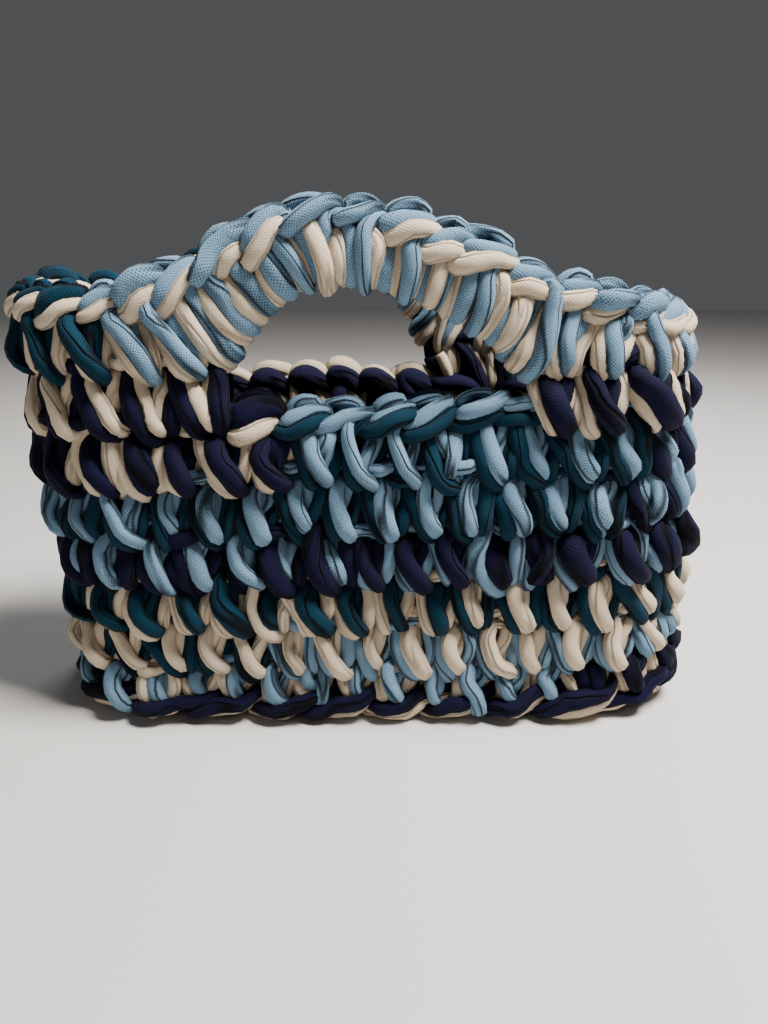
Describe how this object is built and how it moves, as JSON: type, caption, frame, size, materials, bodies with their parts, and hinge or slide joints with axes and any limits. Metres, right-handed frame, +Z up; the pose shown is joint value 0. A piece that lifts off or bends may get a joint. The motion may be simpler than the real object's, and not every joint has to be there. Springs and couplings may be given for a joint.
{
  "type": "crochet handbag",
  "caption": "Soft oblong crochet handbag of thick jersey yarn, open at the top, with an arched handle over a hand opening at the front and at the back.",
  "frame": {"origin": "under the middle of the bag's box, on the surface that it stands on", "axes": "+X along the bag's long side, to the right seen from the front, -Y towards the front, +Z up"},
  "size_m": [0.3288, 0.11, 0.2381],
  "materials": {
    "navy_cream_yarn": "matt cotton jersey, one navy and one cream strand held together",
    "cream_sky_yarn": "matt cotton jersey, one cream and one sky blue strand held together",
    "cream_teal_yarn": "matt cotton jersey, one cream and one teal strand held together",
    "sky_navy_yarn": "matt cotton jersey, one sky blue and one navy strand held together",
    "teal_sky_yarn": "matt cotton jersey, one teal and one sky blue strand held together"
  },
  "bodies": {
    "root": {"base_panel": "navy_cream_yarn", "base_edge": "navy_cream_yarn", "round_1": "cream_sky_yarn", "round_2": "cream_teal_yarn", "round_3": "cream_teal_yarn", "round_4": "sky_navy_yarn", "round_5": "teal_sky_yarn", "round_6": "teal_sky_yarn", "opening_edge_front": "teal_sky_yarn", "opening_edge_back": "navy_cream_yarn", "round_7_left": "navy_cream_yarn", "round_7_right": "navy_cream_yarn", "round_8_left": "cream_teal_yarn", "round_8_right": "cream_sky_yarn", "handle_front": "cream_sky_yarn", "handle_back": "cream_teal_yarn", "rim_braid": "cream_sky_yarn"}
  },
  "joints": []
}
